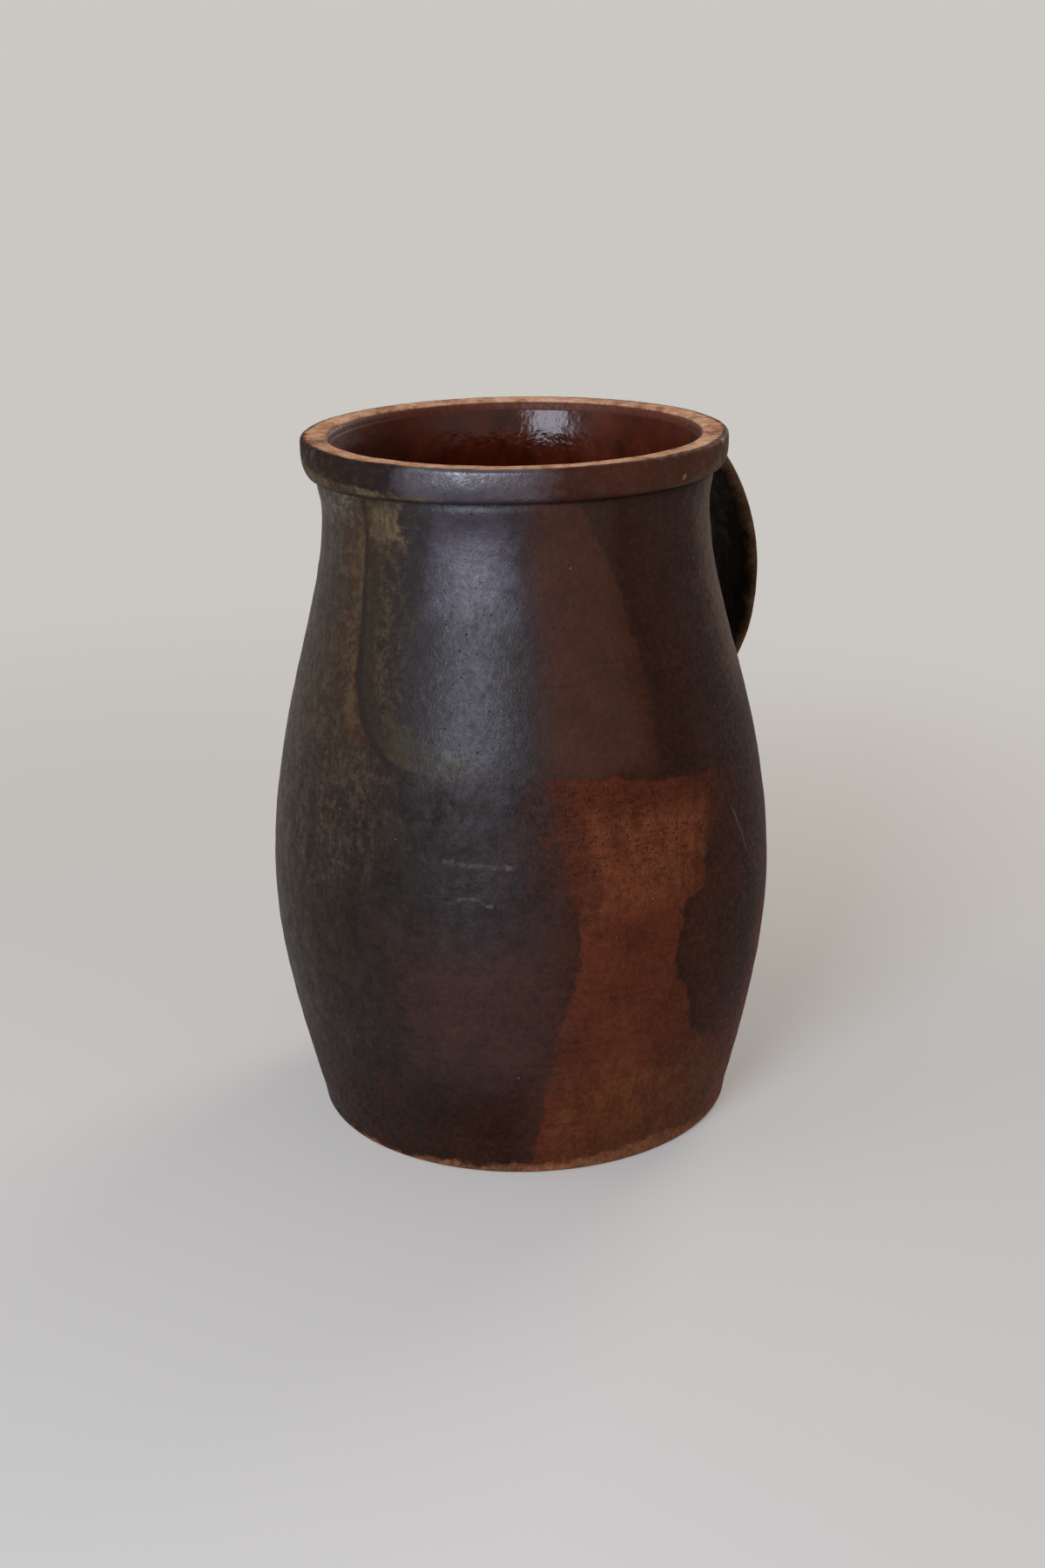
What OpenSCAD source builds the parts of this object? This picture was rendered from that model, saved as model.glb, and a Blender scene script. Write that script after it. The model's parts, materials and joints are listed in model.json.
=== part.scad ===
// A wide-mouthed stoneware jug. The body is thrown in one with its floor, a thick collar of
// clay is lapped over the top of its wall, and a pulled strap handle is luted on behind.
// A thin coat of glaze lines the inside and stops below the bare rim.
// Z is up, the jug stands on z = 0, its axis is the Z axis and the handle points along +X.
// All sizes are in millimetres.

/* [Body] */
// Height from the foot to the bare top of the rim
jug_height = 340; // [320:1:370]
// Outer radius of the foot
foot_radius = 103; // [94:0.5:110]
// Outer radius at the widest place
belly_radius = 124.2; // [116:0.2:134]
// Height of the widest place
belly_height = 121; // [105:1:140]
// Outer radius of the neck at its narrowest
neck_radius = 93.2; // [90:0.1:97]
// Rounding of the foot's lower edge
foot_round = 2; // [0.5:0.5:4]

/* [Wall] */
// Thickness of the wall at the neck
wall = 8.5; // [6:0.5:10]
// Thickness of the wall where it rises from the floor
heel_wall = 11; // [8:0.5:14]
// Thickness of the floor
floor_thickness = 11; // [8:0.5:16]
// Radius of the inside corner between floor and wall
cove_radius = 18; // [8:1:26]

/* [Rim] */
// Height of the collar above the crease
collar_height = 19.5; // [17:0.5:23]
// Outer radius of the collar at its widest
collar_radius = 101.7; // [100:0.1:106]
// Inner radius of the rim
mouth_radius = 88.5; // [86:0.5:90]
// How far the mouth opens between the lap and the rim
mouth_flare = 1.7; // [0.5:0.1:2.5]
// Height of the sloping lap between the wall and the collar
lap_height = 8; // [5:0.5:10]
// Rounding of the collar's outer top edge
rim_outer_round = 2.4; // [1:0.2:4]
// Rounding of the collar's inner top edge
rim_inner_round = 2.6; // [1:0.2:4]
// Distance from the crease down to the neck's narrowest place
bead_height = 14.5; // [12:0.5:20]
// How far the bead under the crease stands out from the neck
bead_out = 1.6; // [0.8:0.1:2.4]
// Depth of the crease behind the bead
crease_depth = 0.8; // [0.4:0.1:1.4]

/* [Strap handle] */
// How far the strap's centre at the farthest place of its bow stands out from the belly
bow_stand = 19.6; // [14:0.2:28]
// Height of the bow's farthest place
reach_height = 251.6; // [244:0.2:260]
// Depth of the strap's upper end below the bare rim
root_drop = 7.6; // [7.2:0.2:10]
// Angle below level at which the strap leaves the collar, in degrees
root_angle = 35; // [28:1:40]
// Height at which the strap's lower end meets the shoulder
tail_height = 190; // [180:1:198]
// Angle above level at which the strap leaves the shoulder, in degrees
tail_angle = 41; // [34:1:48]
// Width of the strap at the collar
root_width = 39; // [34:1:44]
// Width of the strap at the shoulder
tail_width = 34; // [30:1:38]
// Thickness of the strap at the collar
root_thickness = 9.6; // [8:0.2:11]
// Thickness of the strap at the top of its bow
bow_thickness = 8.8; // [7:0.2:11]
// Thickness of the strap at the shoulder
tail_thickness = 8.4; // [7:0.2:10]

/* [Luting] */
// Length of the luting clay along the strap
luting_length = 20; // [14:1:24]
// How far the luting clay spreads beside the strap
luting_side = 7; // [3:0.5:9]
// How far it spreads under the strap's upper end
luting_under = 13; // [6:0.5:15]
// How far it spreads below and above the strap's lower end
luting_tail = 7; // [3:0.5:9]
// Thickness to which it is worn away at its far edge
luting_feather = 0.4; // [0.3:0.1:1]
// How far it stays below the strap's upper face at the collar
luting_open = 2; // [1:0.5:3]

/* [Glaze lining] */
// Thickness of the glaze coat inside
liner_thickness = 0.6; // [0.4:0.1:1]
// Height of the bare band left above the lining
bare_band = 5; // [3.5:0.5:8]

/* [Hidden] */

$fn = 240;

// Steps along each curve of the wall, of the collar and of the strap
lower_steps = 12;
upper_steps = 18;
bead_steps = 6;
corner_steps = 6;
bow_steps = 26;
luting_steps = 9;
// Points round the strap's oval section
oval_points = 28;

// Shares that give the wall its curve: how high and how far out the foot's lean carries,
// and how far the belly and the neck stay upright
foot_rise_share = 0.61;
foot_lean_share = 0.95;
belly_low_share = 0.12;
belly_high_share = 0.435;
neck_share = 0.263;
// Share of the throat's height over which it stays upright below and straight above
throat_share = 0.36;
// Shares of the collar: its overhang, its roll and its widest place
overhang_share = 0.8;
roll_share = 0.33;
widest_share = 0.72;
// Share of the bead's height at which its crown lies
crown_share = 0.8;
// Shares that give the strap its bow
root_pull_share = 0.366;
bow_high_share = 0.412;
bow_low_share = 0.557;
tail_pull_share = 0.383;
// Share of a corner's size at which its curve turns
turn_share = 0.55;
// Fullness of the strap's oval: 2 is an ellipse, more is squarer
oval_power = 2.6;

crease_height = jug_height - collar_height;
crown_radius = neck_radius + bead_out;
crease_radius = crown_radius - crease_depth;
neck_height = crease_height - bead_height;
crown_height = neck_height + crown_share * bead_height;

// A cubic curve from p0 to p3 that leaves towards p1 and arrives from p2
function bend(p0, p1, p2, p3, steps) =
    [for (i = [0 : steps]) let (t = i / steps, u = 1 - t)
        u * u * u * p0 + 3 * u * u * t * p1 + 3 * u * t * t * p2 + t * t * t * p3];

// A line without its first point, to follow on from another
function rest(line) = [for (i = [1 : len(line) - 1]) line[i]];

function turned(line) = [for (i = [len(line) - 1 : -1 : 0]) line[i]];

function unit(v) = v / norm(v);

// Direction of a line at one of its points
function heading(line, i) = unit(line[min(i + 1, len(line) - 1)] - line[max(i - 1, 0)]);

// The same line moved to its left by a distance
function inset(line, distance) =
    [for (i = [0 : len(line) - 1]) let (h = heading(line, i)) line[i] + distance * [-h[1], h[0]]];

// The wall's outer face, from the foot's edge to the crease, as radius and height
foot_edge = bend([foot_radius - foot_round, 0],
                 [foot_radius - (1 - turn_share) * foot_round, 0],
                 [foot_radius, (1 - turn_share) * foot_round],
                 [foot_radius, 0] + foot_round * unit([foot_lean_share * (belly_radius - foot_radius),
                                                       foot_rise_share * belly_height]),
                 corner_steps);
lower_wall = bend(foot_edge[corner_steps],
                  [foot_radius + foot_lean_share * (belly_radius - foot_radius), foot_rise_share * belly_height],
                  [belly_radius, (1 - belly_low_share) * belly_height],
                  [belly_radius, belly_height],
                  lower_steps);
upper_wall = bend([belly_radius, belly_height],
                  [belly_radius, belly_height + belly_high_share * (neck_height - belly_height)],
                  [neck_radius, neck_height - neck_share * (neck_height - belly_height)],
                  [neck_radius, neck_height],
                  upper_steps);
bead_wall = bend([neck_radius, neck_height],
                 [neck_radius, neck_height + crown_share * bead_height / 2],
                 [crown_radius, crown_height - (1 - crown_share) * bead_height],
                 [crown_radius, crown_height],
                 bead_steps);
outer_face = concat(foot_edge, rest(lower_wall), rest(upper_wall), rest(bead_wall),
                    [[crease_radius, crease_height]]);

function outer_radius(z) = lookup(z, [for (p = outer_face) [p[1], p[0]]]);

function wall_at(z) = heel_wall + (wall - heel_wall) * min(1, z / neck_height);

function inner_radius(z) = outer_radius(z) - wall_at(z);

// The inner face, from the middle of the floor to the rim's inner edge
cove_top = floor_thickness + cove_radius;
cove_lean = unit([inner_radius(cove_top + cove_radius) - inner_radius(cove_top), cove_radius]);
cove_start = inner_radius(cove_top) - cove_radius * (1 + cove_lean[0]);
cove = bend([cove_start, floor_thickness],
            [cove_start + turn_share * cove_radius, floor_thickness],
            [inner_radius(cove_top), cove_top] - turn_share * cove_radius * cove_lean,
            [inner_radius(cove_top), cove_top],
            corner_steps);
wall_levels = [for (p = concat(rest(lower_wall), rest(upper_wall))) if (p[1] > cove_top + foot_round) p[1]];
lap_top = crease_height + lap_height;
lap_point = [mouth_radius - mouth_flare, lap_top];
mouth_edge = [mouth_radius, jug_height - rim_inner_round];
mouth_way = (mouth_edge - lap_point) / (mouth_edge[1] - lap_point[1]);
throat = bend([inner_radius(neck_height), neck_height],
              [inner_radius(neck_height), mix(neck_height, lap_top, throat_share)],
              lap_point - throat_share * (lap_top - neck_height) * mouth_way,
              lap_point,
              bead_steps);
inner_face = concat([[0, floor_thickness]], cove, [for (z = wall_levels) [inner_radius(z), z]], rest(throat));

// The collar's outer face, from the crease over the roll to the bare top
collar_face = concat(
    bend([crease_radius, crease_height],
         [crease_radius + overhang_share * (collar_radius - crease_radius), crease_height],
         [collar_radius, crease_height + roll_share * collar_height],
         [collar_radius, crease_height + widest_share * collar_height],
         2 * corner_steps),
    bend([collar_radius, jug_height - rim_outer_round],
         [collar_radius, jug_height - (1 - turn_share) * rim_outer_round],
         [collar_radius - (1 - turn_share) * rim_outer_round, jug_height],
         [collar_radius - rim_outer_round, jug_height],
         corner_steps));
rim_inner_edge = bend([mouth_radius + rim_inner_round, jug_height],
                      [mouth_radius + (1 - turn_share) * rim_inner_round, jug_height],
                      [mouth_radius, jug_height - (1 - turn_share) * rim_inner_round],
                      [mouth_radius, jug_height - rim_inner_round],
                      corner_steps);

// The strap's centre line in the plane of the handle, as distance from the axis and height.
// It starts inside the collar and ends inside the wall, where both faces cut it off.
root = [collar_radius - bead_out, jug_height - root_drop];
root_way = [cos(root_angle), -sin(root_angle)];
tail = [outer_radius(tail_height) - wall / 2, tail_height];
tail_way = [cos(tail_angle), sin(tail_angle)];
bow = [belly_radius + bow_stand, reach_height];
upper_bow = bend(root,
                 root + root_pull_share * (root[1] - bow[1]) * root_way,
                 bow + [0, bow_high_share * (root[1] - bow[1])],
                 bow,
                 bow_steps);
lower_bow = bend(bow,
                 bow - [0, bow_low_share * (bow[1] - tail[1])],
                 tail + tail_pull_share * (bow[1] - tail[1]) * tail_way,
                 tail,
                 bow_steps);
strap_line = concat([root - root_thickness / 2 * root_way], upper_bow, rest(lower_bow),
                    [tail - wall / 2 * tail_way]);

function mix(a, b, t) = a + (b - a) * t;

strap_last = len(strap_line) - 1;
function strap_width(i) = mix(root_width, tail_width, i / strap_last);
function strap_thickness(i) =
    let (t = 2 * i / strap_last)
    t < 1 ? mix(root_thickness, bow_thickness, t) : mix(bow_thickness, tail_thickness, t - 1);

function full(v) = sign(v) * pow(abs(v), 2 / oval_power);

// One oval ring: across is its half width, up and down are its halves on either side of the line
function oval_ring(centre, way, across, up, down) =
    [for (k = [0 : oval_points - 1])
        let (a = 360 * k / oval_points,
             side = across * full(cos(a)),
             lift = (sin(a) > 0 ? up : down) * full(sin(a)))
        [centre[0] - lift * way[1], side, centre[1] + lift * way[0]]];

// A closed skin over a row of rings with equally many points
module skin(rings) {
    count = len(rings[0]);
    last = len(rings) - 1;
    sides = [for (i = [0 : last - 1], k = [0 : count - 1])
        let (a = i * count + k, b = i * count + (k + 1) % count)
        each [[a, a + count, b + count], [a, b + count, b]]];
    first_end = [for (k = [0 : count - 1]) k];
    last_end = [for (k = [count - 1 : -1 : 0]) last * count + k];
    polyhedron(points = [for (r = rings) each r], faces = concat(sides, [first_end, last_end]));
}

// The strap, or a stretch of it, from one of its rings to another
module strap_skin(from = 0, to = strap_last) {
    skin([for (i = [from : to])
        oval_ring(strap_line[i], heading(strap_line, i),
                  strap_width(i) / 2, strap_thickness(i) / 2, strap_thickness(i) / 2)]);
}

// Length of the strap's line from its first point to a given one
function run_to(line, i) = i == 0 ? 0 : run_to(line, i - 1) + norm(line[i] - line[i - 1]);

// A place a given length along a line
function place_on(line, runs, length) =
    [lookup(length, [for (i = [0 : len(line) - 1]) [runs[i], line[i][0]]]),
     lookup(length, [for (i = [0 : len(line) - 1]) [runs[i], line[i][1]]])];

// Luting clay over one end of a strap line: widest at the pot, and worn away to a feather edge.
// The line's left is its side towards up, and spread is how far the clay reaches at the pot.
module luting_skin(line, across, up, down, spread_across, spread_up, spread_down) {
    runs = [for (i = [0 : len(line) - 1]) run_to(line, i)];
    places = [for (i = [0 : luting_steps]) place_on(line, runs, luting_length * i / luting_steps)];
    skin([for (i = [0 : luting_steps])
        let (left = 1 - i / luting_steps, worn = left * left)
        oval_ring(places[i], heading(places, i),
                  across + worn * spread_across, up + worn * spread_up, down + worn * spread_down)]);
}

// Everything inside the pot's outer faces, for cutting off what meets them
module filled_pot() {
    rotate_extrude()
        polygon(concat([[0, 0]], outer_face, rest(collar_face), [[0, jug_height]]));
}

module thrown_body() {
    color("#3b2f2c")
        rotate_extrude()
            polygon(concat([[0, 0]], outer_face, turned(inner_face)));
}

module rim_collar() {
    color("#4a3a34")
        rotate_extrude()
            polygon(concat(collar_face, rim_inner_edge, [lap_point]));
}

module strap_handle() {
    color("#54473a")
        difference() {
            strap_skin();
            filled_pot();
        }
}

module handle_top_luting() {
    color("#463932")
        difference() {
            luting_skin(strap_line, root_width / 2 + luting_feather, root_thickness / 2 - luting_open,
                        root_thickness / 2 + luting_feather, luting_side, 0, luting_under);
            strap_skin(to = bow_steps / 2);
            filled_pot();
        }
}

module handle_tail_luting() {
    color("#42362f")
        difference() {
            luting_skin(turned(strap_line), tail_width / 2 + luting_feather, tail_thickness / 2 + luting_feather,
                        tail_thickness / 2 + luting_feather, luting_side, luting_tail, luting_tail);
            strap_skin(from = strap_last - bow_steps / 2);
            filled_pot();
        }
}

module liner_glaze() {
    lined = concat(inner_face, [lap_point + (jug_height - bare_band - lap_top) * mouth_way]);
    color("#5a2414")
        rotate_extrude()
            polygon(concat(lined, turned(inset(lined, liner_thickness))));
}

thrown_body();
rim_collar();
strap_handle();
handle_top_luting();
handle_tail_luting();
liner_glaze();
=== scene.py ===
# %% [markdown]
# # A salt-fired stoneware jug
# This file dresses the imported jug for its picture. The solids of the frame say where each piece of clay
# is, and each piece that is made here stands in the same place, with the marks of the wheel, the kiln
# and a long life of use. Everything is in metres, and the jug stands on z = 0 with its handle along +X.

# %% Load the frame
import bpy, json, math
from mathutils import Euler, Matrix, Vector

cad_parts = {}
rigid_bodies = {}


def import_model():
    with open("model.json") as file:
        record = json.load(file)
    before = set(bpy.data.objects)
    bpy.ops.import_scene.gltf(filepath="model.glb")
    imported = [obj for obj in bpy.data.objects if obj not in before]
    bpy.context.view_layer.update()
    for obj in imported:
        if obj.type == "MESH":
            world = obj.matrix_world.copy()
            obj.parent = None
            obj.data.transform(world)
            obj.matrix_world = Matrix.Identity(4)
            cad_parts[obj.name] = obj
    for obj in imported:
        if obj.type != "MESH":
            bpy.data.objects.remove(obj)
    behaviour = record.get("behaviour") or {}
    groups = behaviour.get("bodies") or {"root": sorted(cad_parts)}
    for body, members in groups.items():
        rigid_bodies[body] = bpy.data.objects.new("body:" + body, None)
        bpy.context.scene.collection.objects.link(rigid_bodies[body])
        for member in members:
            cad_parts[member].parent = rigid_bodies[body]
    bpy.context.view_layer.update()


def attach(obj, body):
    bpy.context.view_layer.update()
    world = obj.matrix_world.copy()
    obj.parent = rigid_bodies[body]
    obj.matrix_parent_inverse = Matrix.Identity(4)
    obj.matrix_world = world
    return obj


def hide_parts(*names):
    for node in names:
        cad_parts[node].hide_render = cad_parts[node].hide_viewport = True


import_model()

scene = bpy.context.scene
bpy.ops.object.select_all(action="DESELECT")

# %% [markdown]
# ## The camera
# The picture was taken with a normal lens from a little above the rim. A camera that is placed by its
# angle round the jug, its height above level and its distance is easy to check against the photograph.
# A hand-held camera is never quite level, so it also leans a little.

# %% Place the camera
AZIMUTH, RISE, LEAN, DISTANCE = math.radians(-38), math.radians(19.0465), math.radians(-0.9425), 1.08941
to_right = Vector((math.cos(AZIMUTH), math.sin(AZIMUTH), 0))
to_camera = Vector((math.sin(AZIMUTH) * math.cos(RISE), -math.cos(AZIMUTH) * math.cos(RISE), math.sin(RISE)))
ASIDE, AIM_HEIGHT = 0.00115, 0.16212
look_at = ASIDE * to_right + Vector((0, 0, AIM_HEIGHT))
turned = Euler((math.pi / 2 - RISE, 0, AZIMUTH)).to_matrix() @ Matrix.Rotation(LEAN, 3, "Z")
bpy.ops.object.camera_add(location=look_at + DISTANCE * to_camera, rotation=turned.to_euler())
camera = scene.camera = bpy.context.object
camera.data.lens, camera.data.sensor_width = 50, 36
print("camera", round(DISTANCE, 3), "m away, at", [round(v, 3) for v in camera.location])

# %% [markdown]
# ## Light, floor and background
# The jug stands by a window: one soft light comes from the front left and draws the tall highlight on the
# neck. A weaker one fills the left side, and one from behind keeps the jug's back from going black in the
# other views. An area lamp behaves like a window, because its highlight has the lamp's own shape. The
# lamps are placed by the same angles as the camera.

# %% Hang the lamps
def hang_lamp(name, angle, height, distance, width, tall, power, colour):
    """Hangs a soft rectangular lamp; the angle is measured from the camera, positive to its right."""
    around = AZIMUTH + math.radians(angle)
    place = Vector((math.sin(around) * distance, -math.cos(around) * distance, height))
    facing = (Vector((0, 0, 0.2)) - place).to_track_quat("-Z", "Y").to_euler()
    bpy.ops.object.light_add(type="AREA", location=place, rotation=facing)
    lamp = bpy.context.object
    lamp.name = lamp.data.name = name
    lamp.data.shape, lamp.data.size, lamp.data.size_y = "RECTANGLE", width, tall
    lamp.data.energy, lamp.data.color = power, colour
    print(name, "at", [round(v, 2) for v in place])


hang_lamp("window", angle=-24, height=0.66, distance=1.55, width=0.62, tall=1.24,
          power=24, colour=(0.78, 0.84, 1.0))
hang_lamp("left_fill", angle=-75, height=1.7, distance=1.5, width=1.2, tall=1.2,
          power=5, colour=(1.0, 0.94, 0.84))
hang_lamp("back_fill", angle=145, height=1.1, distance=1.7, width=0.8, tall=1.3,
          power=13, colour=(1.0, 0.93, 0.85))

# %% [markdown]
# One function turns a colour as it is written on the web, such as "#c9cacd", to the linear numbers that
# Blender mixes with. One more adds a node: its settings first, then each of its inputs, as a number, a
# written colour, or the node that feeds it.

# %% Colours and nodes
def linear(text):
    """A written colour as linear red, green, blue and alpha."""
    parts = [int(text[i : i + 2], 16) / 255 for i in (1, 3, 5)]
    return [p / 12.92 if p <= 0.04045 else ((p + 0.055) / 1.055) ** 2.4 for p in parts] + [1.0]


def add(kind, sockets={}, stops=(), points=(), **settings):
    """Adds a node to the tree in hand. Stops are for a colour ramp, points for a curve."""
    node = tree.nodes.new("ShaderNode" + kind)
    for name, value in settings.items():
        setattr(node, name, value)
    if stops:
        ramp = node.color_ramp.elements
        ramp.remove(ramp[1])
        ramp[0].position, ramp[0].color = stops[0][0], linear(stops[0][1])
        for place, colour in stops[1:]:
            ramp.new(place).color = linear(colour)
    if points:
        line = node.mapping.curves[0].points
        for place, value in points[1:-1]:
            line.new(place, value)
        line[0].location, line[len(line) - 1].location = points[0], points[-1]
        for knot in line:
            knot.handle_type = "VECTOR"
        node.mapping.extend = "HORIZONTAL"
        node.mapping.update()
    in_use = [s for s in node.inputs if s.enabled]
    for key, value in sockets.items():
        socket = in_use[key] if isinstance(key, int) else next(s for s in in_use if s.name == key)
        if isinstance(value, bpy.types.Node):
            value = next(s for s in value.outputs if s.enabled)
        if isinstance(value, bpy.types.NodeSocket):
            tree.links.new(value, socket)
        else:
            socket.default_value = linear(value) if isinstance(value, str) else value
    return node


print("a pale wall, #c9cacd, is", [round(v, 3) for v in linear("#c9cacd")[:3]], "in linear light")

# %% [markdown]
# The background is the pale colour of a limewashed wall. Light Path lets the camera, and anything glossy,
# see that colour, while the jug is lit by a plainer and weaker light from all round.

# %% Colour the background
def seen_directly():
    """1 for rays from the camera, from a gloss or through a glass, and 0 for all others."""
    rays = add("LightPath").outputs
    seen = add("Math", {0: rays["Is Camera Ray"], 1: rays["Is Glossy Ray"]}, operation="MAXIMUM")
    return add("Math", {0: seen, 1: rays["Is Transmission Ray"]}, operation="MAXIMUM")


BACKGROUND = "#cbc8c4"
scene.view_settings.view_transform = "Standard"
scene.world = bpy.data.worlds.new("studio")
scene.world.use_nodes = True
tree = scene.world.node_tree
tree.nodes.clear()
seen = seen_directly()
room = add("Background", {"Color": "#fff0de", "Strength": 0.28})
wall = add("Background", {"Color": BACKGROUND, "Strength": 1.0})
add("OutputWorld", {"Surface": add("MixShader", {0: seen, 1: room, 2: wall})})
print("background", BACKGROUND)

# %% [markdown]
# The floor takes the jug's shadow. Further out it fades to the background's own colour, so that no
# horizon crosses the picture.

# %% Lay the floor
bpy.ops.mesh.primitive_circle_add(vertices=96, radius=12, fill_type="NGON", location=(0, 0, 0))
floor = bpy.context.object
floor.name = "studio_floor"

# Uncoated paper off a roll: matt to the eye, so it takes a shadow and mirrors nothing.
paper = bpy.data.materials.new("pale_paper")
paper.use_nodes = True
tree = paper.node_tree
tree.nodes.clear()
far = add("VectorMath", {0: add("TexCoord").outputs["Object"]}, operation="LENGTH")
far = add("MapRange", {0: far.outputs["Value"], 1: 0.25, 2: 1.2, 3: 0.3}, interpolation_type="SMOOTHSTEP")
seen = seen_directly()
fade = add("Math", {0: far, 1: seen}, operation="MULTIPLY")
near = add("BsdfDiffuse", {"Color": "#e2e2e2"})
glow = add("Emission", {"Color": BACKGROUND, "Strength": 1.0})
add("OutputMaterial", {"Surface": add("MixShader", {0: fade, 1: near, 2: glow})})
floor.data.materials.append(paper)
print("floor", [round(v, 1) for v in floor.dimensions])

# %% [markdown]
# ## Throwing the pot
# A thrown pot is one outline carried round an axis, and that is how it is made here: the outline is drawn
# with curves, turned into a line of points, and carried round by a Screw modifier with no rise, which does
# the same as a spin and is much quicker on so many points. Every stroke of the outline is a curve with two
# handles, written as start, handle, handle and end, in millimetres out from the axis and up from the floor,
# and then its number of steps.

# %% Tools for the wheel
MM = 0.001


def set_knot(knot, place, before, after):
    """Sets a curve's knot and its two handles, in millimetres out from the axis and up."""
    knot.handle_left_type = knot.handle_right_type = "FREE"
    knot.co, knot.handle_left, knot.handle_right = (
        Vector((p[0], 0, p[1])) * MM for p in (place, before, after))


def work_on(piece, mode="EDIT"):
    """Makes a piece the only one selected, and opens it."""
    if bpy.context.object and bpy.context.object.mode != "OBJECT":
        bpy.ops.object.mode_set(mode="OBJECT")
    bpy.ops.object.select_all(action="DESELECT")
    piece.select_set(True)
    bpy.context.view_layer.objects.active = piece
    bpy.ops.object.mode_set(mode=mode)


def draw_outline(name, strokes):
    """Draws an outline in the plane y = 0, one curve to a stroke."""
    bpy.ops.curve.primitive_bezier_curve_add(location=(0, 0, 0))
    outline = bpy.context.object
    outline.name = outline.data.name = name
    outline.data.splines.clear()
    for start, leave, arrive, end, steps in strokes:
        stroke = outline.data.splines.new("BEZIER")
        stroke.bezier_points.add(1)
        stroke.resolution_u = steps
        first, last = stroke.bezier_points
        set_knot(first, start, start, leave)
        set_knot(last, end, arrive, end)
    return outline


def straight(start, end, steps):
    """A stroke without a bend."""
    third = [(e - s) / 3 for s, e in zip(start, end)]
    return start, [s + t for s, t in zip(start, third)], [e - t for e, t in zip(end, third)], end, steps


def merge_points(piece):
    """Merges points that lie on each other and turns all faces outwards."""
    work_on(piece)
    bpy.ops.mesh.select_all(action="SELECT")
    bpy.ops.mesh.remove_doubles(threshold=0.00001)
    bpy.ops.mesh.normals_make_consistent(inside=False)
    work_on(piece, "OBJECT")


def apply_modifier(piece, kind, **settings):
    """Adds a modifier with its settings and applies it."""
    work_on(piece, "OBJECT")
    bpy.ops.object.modifier_add(type=kind)
    modifier = piece.modifiers[-1]
    for name, value in settings.items():
        setattr(modifier, name, value)
    bpy.ops.object.modifier_apply(modifier=modifier.name)


def spin_outline(outline, steps):
    """Turns an outline into a closed shell round the Z axis."""
    work_on(outline, "OBJECT")
    bpy.ops.object.convert(target="MESH")
    merge_points(outline)
    apply_modifier(outline, "SCREW", axis="Z", angle=2 * math.pi, steps=steps, render_steps=steps,
                   use_merge_vertices=True)
    merge_points(outline)
    bpy.ops.object.shade_smooth()
    print(outline.name, len(outline.data.polygons), "faces,", [round(v, 4) for v in outline.dimensions], "m")


# %% [markdown]
# ### The thrown body
# The foot leans out into a long belly, and the wall then draws in to the neck and ends in a soft bead
# under the collar. The outer strokes are short in step, because marks are pressed into them later. The
# inside is hidden by the glaze lining, so a few steps are enough there.

# %% Throw the body
foot_top, belly, neck = (103.53, 1.93), (124.2, 121), (93.2, 306)
bead_top, crease = (94.8, 317.6), (94, 320.5)
mouth_low, mouth_edge = (86.8, 328.5), (88.5, 337.4)


def inner_strokes(c, steps):
    """The inner face from the mouth down to the middle of the floor, moved in by a coat that is c thick."""
    return [
        ((86.8 - c, 328.5), (85.25 - c, 320.4), (84.7 - c, 314.1), (84.7 - c, 306), steps[0]),
        ((84.7 - c, 306), (84.3 - c, 257.35), (114.85 - c, 201.47), (114.19 - c, 121), steps[1]),
        ((114.19 - c, 121), (114.09 - c, 108.44), (113.08 - c, 82.32), (99.75 - c, 29), steps[2]),
        ((99.75 - c, 29), (97.46 - c, 19.37 + c), (87.49, 11 + c), (77.59, 11 + c), steps[3]),
        straight((77.59, 11 + c), (0, 11 + c), steps[4]),
    ]


body = draw_outline("thrown_wall", [
    straight((0, 0), (101, 0), 26),
    ((101, 0), (102.1, 0), (103, 0.9), foot_top, 4),
    (foot_top, (123.14, 73.81), (124.2, 106.48), belly, 62),
    (belly, (124.2, 201.48), (93.2, 257.35), neck, 94),
    (neck, (93.2, 311.8), (94.8, 314.7), bead_top, 9),
    straight(bead_top, crease, 3),
    straight(crease, mouth_low, 4),
] + inner_strokes(0, (4, 20, 12, 5, 6)))
spin_outline(body, 352)

# %% [markdown]
# ### The rim collar
# The collar is a roll of clay, lapped over the wall's sloping top edge. Its lower side is round and
# undercut, its top is flat and bare, and both top edges are softened by the potter's sponge.

# %% Throw the collar
rim_outer, rim_inner = (99.3, 340), (91.1, 340)
collar = draw_outline("rolled_collar", [
    (crease, (100.16, 320.5), (101.7, 326.94), (101.7, 334.54), 24),
    straight((101.7, 334.54), (101.7, 337.6), 4),
    ((101.7, 337.6), (101.7, 338.92), (100.62, 340), rim_outer, 6),
    straight(rim_outer, rim_inner, 11),
    (rim_inner, (89.67, 340), (88.5, 338.83), mouth_edge, 6),
    straight(mouth_edge, mouth_low, 10),
    straight(mouth_low, crease, 5),
])
spin_outline(collar, 600)

# %% [markdown]
# ### The glaze lining
# The slip was poured in, swilled round and poured out, and it melted to a thin glossy coat. It is a
# closed shell between the clay and a line a few tenths of a millimetre further in, and it stops short of
# the bare rim.

# %% Pour the lining
coat = 0.6
outer_side = [straight((88.04, 335), mouth_low, 2)] + inner_strokes(0, (4, 20, 12, 5, 6))
inner_side = [straight((87.36, 334.6), (86.2, 328.5), 5)] + inner_strokes(coat, (14, 70, 40, 12, 24))
lip = [((88.04, 335), (87.8, 335.15), (87.44, 335), (87.36, 334.6), 4)]
lining = draw_outline("slip_lining", outer_side + inner_side + lip)
spin_outline(lining, 288)

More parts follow.
